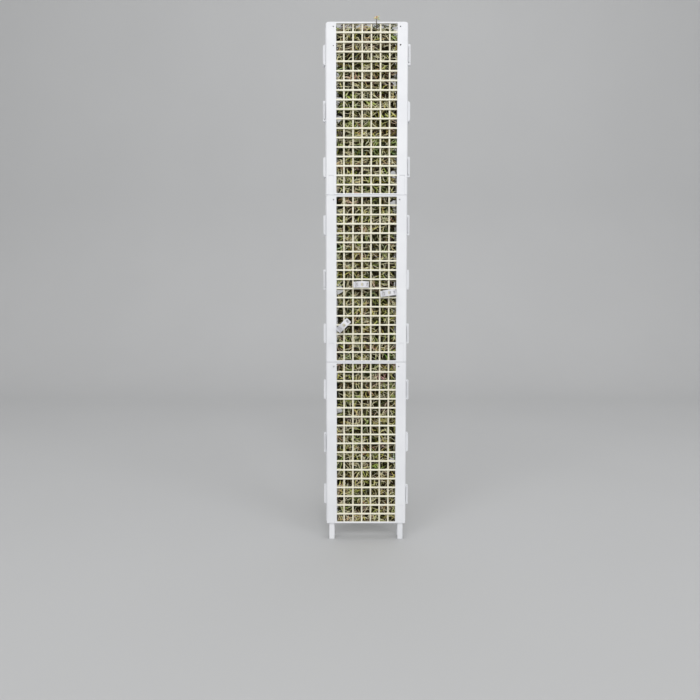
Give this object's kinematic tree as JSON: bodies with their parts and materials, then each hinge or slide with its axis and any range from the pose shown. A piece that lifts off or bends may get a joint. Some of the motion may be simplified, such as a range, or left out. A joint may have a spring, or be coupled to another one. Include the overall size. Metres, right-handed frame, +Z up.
{
  "type": "plant climbing frame",
  "caption": "Flat stackable grid pole of clipped plastic halves filled with moss, with ring clips that hold climbing stems to it.",
  "frame": {"origin": "centre of the lower end, at the level of the lowest tongue tips, which go into the soil", "axes": "+Z up along the pole, -Y out of the front grid, +X to the right seen from the front"},
  "size_m": [0.0836, 0.0237, 0.4976],
  "materials": {
    "white_plastic": "satin moulded white",
    "grid_plastic": "satin moulded cream white",
    "clip_plastic": "smooth white",
    "moss": "matted fibres"
  },
  "bodies": {
    "bottom_back": {"bottom_back_frame": "white_plastic", "bottom_back_grid": "grid_plastic", "bottom_moss_core": "moss"},
    "bottom_front": {"bottom_front_frame": "white_plastic", "bottom_front_grid": "grid_plastic"},
    "middle_back": {"middle_back_frame": "white_plastic", "middle_back_grid": "grid_plastic", "middle_moss_core": "moss"},
    "middle_front": {"middle_front_frame": "white_plastic", "middle_front_grid": "grid_plastic", "clip_a_hook": "clip_plastic", "clip_b_hook": "clip_plastic", "clip_c_hook": "clip_plastic"},
    "top_back": {"top_back_frame": "white_plastic", "top_back_grid": "grid_plastic", "top_moss_core": "moss"},
    "top_front": {"top_front_frame": "white_plastic", "top_front_grid": "grid_plastic"},
    "clip_a_gate": {"clip_a_gate": "clip_plastic"},
    "clip_b_gate": {"clip_b_gate": "clip_plastic"},
    "clip_c_gate": {"clip_c_gate": "clip_plastic"}
  },
  "joints": [
    {"name": "bottom_front_pull", "type": "slide", "parent": "bottom_back", "child": "bottom_front", "axis": [0, -1, 0], "range_m": [0, 0.04]},
    {"name": "middle_front_pull", "type": "slide", "parent": "middle_back", "child": "middle_front", "axis": [0, -1, 0], "range_m": [0, 0.04]},
    {"name": "top_front_pull", "type": "slide", "parent": "top_back", "child": "top_front", "axis": [0, -1, 0], "range_m": [0, 0.04]},
    {"name": "middle_lift", "type": "slide", "parent": "bottom_back", "child": "middle_back", "axis": [0, 0, 1], "range_m": [0, 0.025]},
    {"name": "top_lift", "type": "slide", "parent": "middle_back", "child": "top_back", "axis": [0, 0, 1], "range_m": [0, 0.025]},
    {"name": "clip_a_hinge", "type": "hinge", "parent": "middle_front", "child": "clip_a_gate", "pos_m": [0.00256, -0.009, 0.25187], "axis": [0, 0, 1], "range_deg": [0, 100]},
    {"name": "clip_b_hinge", "type": "hinge", "parent": "middle_front", "child": "clip_b_gate", "pos_m": [0.02848, -0.009, 0.24495], "axis": [-0.1392, 0, 0.9903], "range_deg": [0, 100]},
    {"name": "clip_c_hinge", "type": "hinge", "parent": "middle_front", "child": "clip_c_gate", "pos_m": [-0.01679, -0.009, 0.21813], "axis": [-0.7071, 0, 0.7071], "range_deg": [0, 100]}
  ],
  "couplings": [
    {"joint": "middle_front_pull", "follows": "bottom_front_pull", "ratio": 1},
    {"joint": "top_front_pull", "follows": "bottom_front_pull", "ratio": 1}
  ]
}
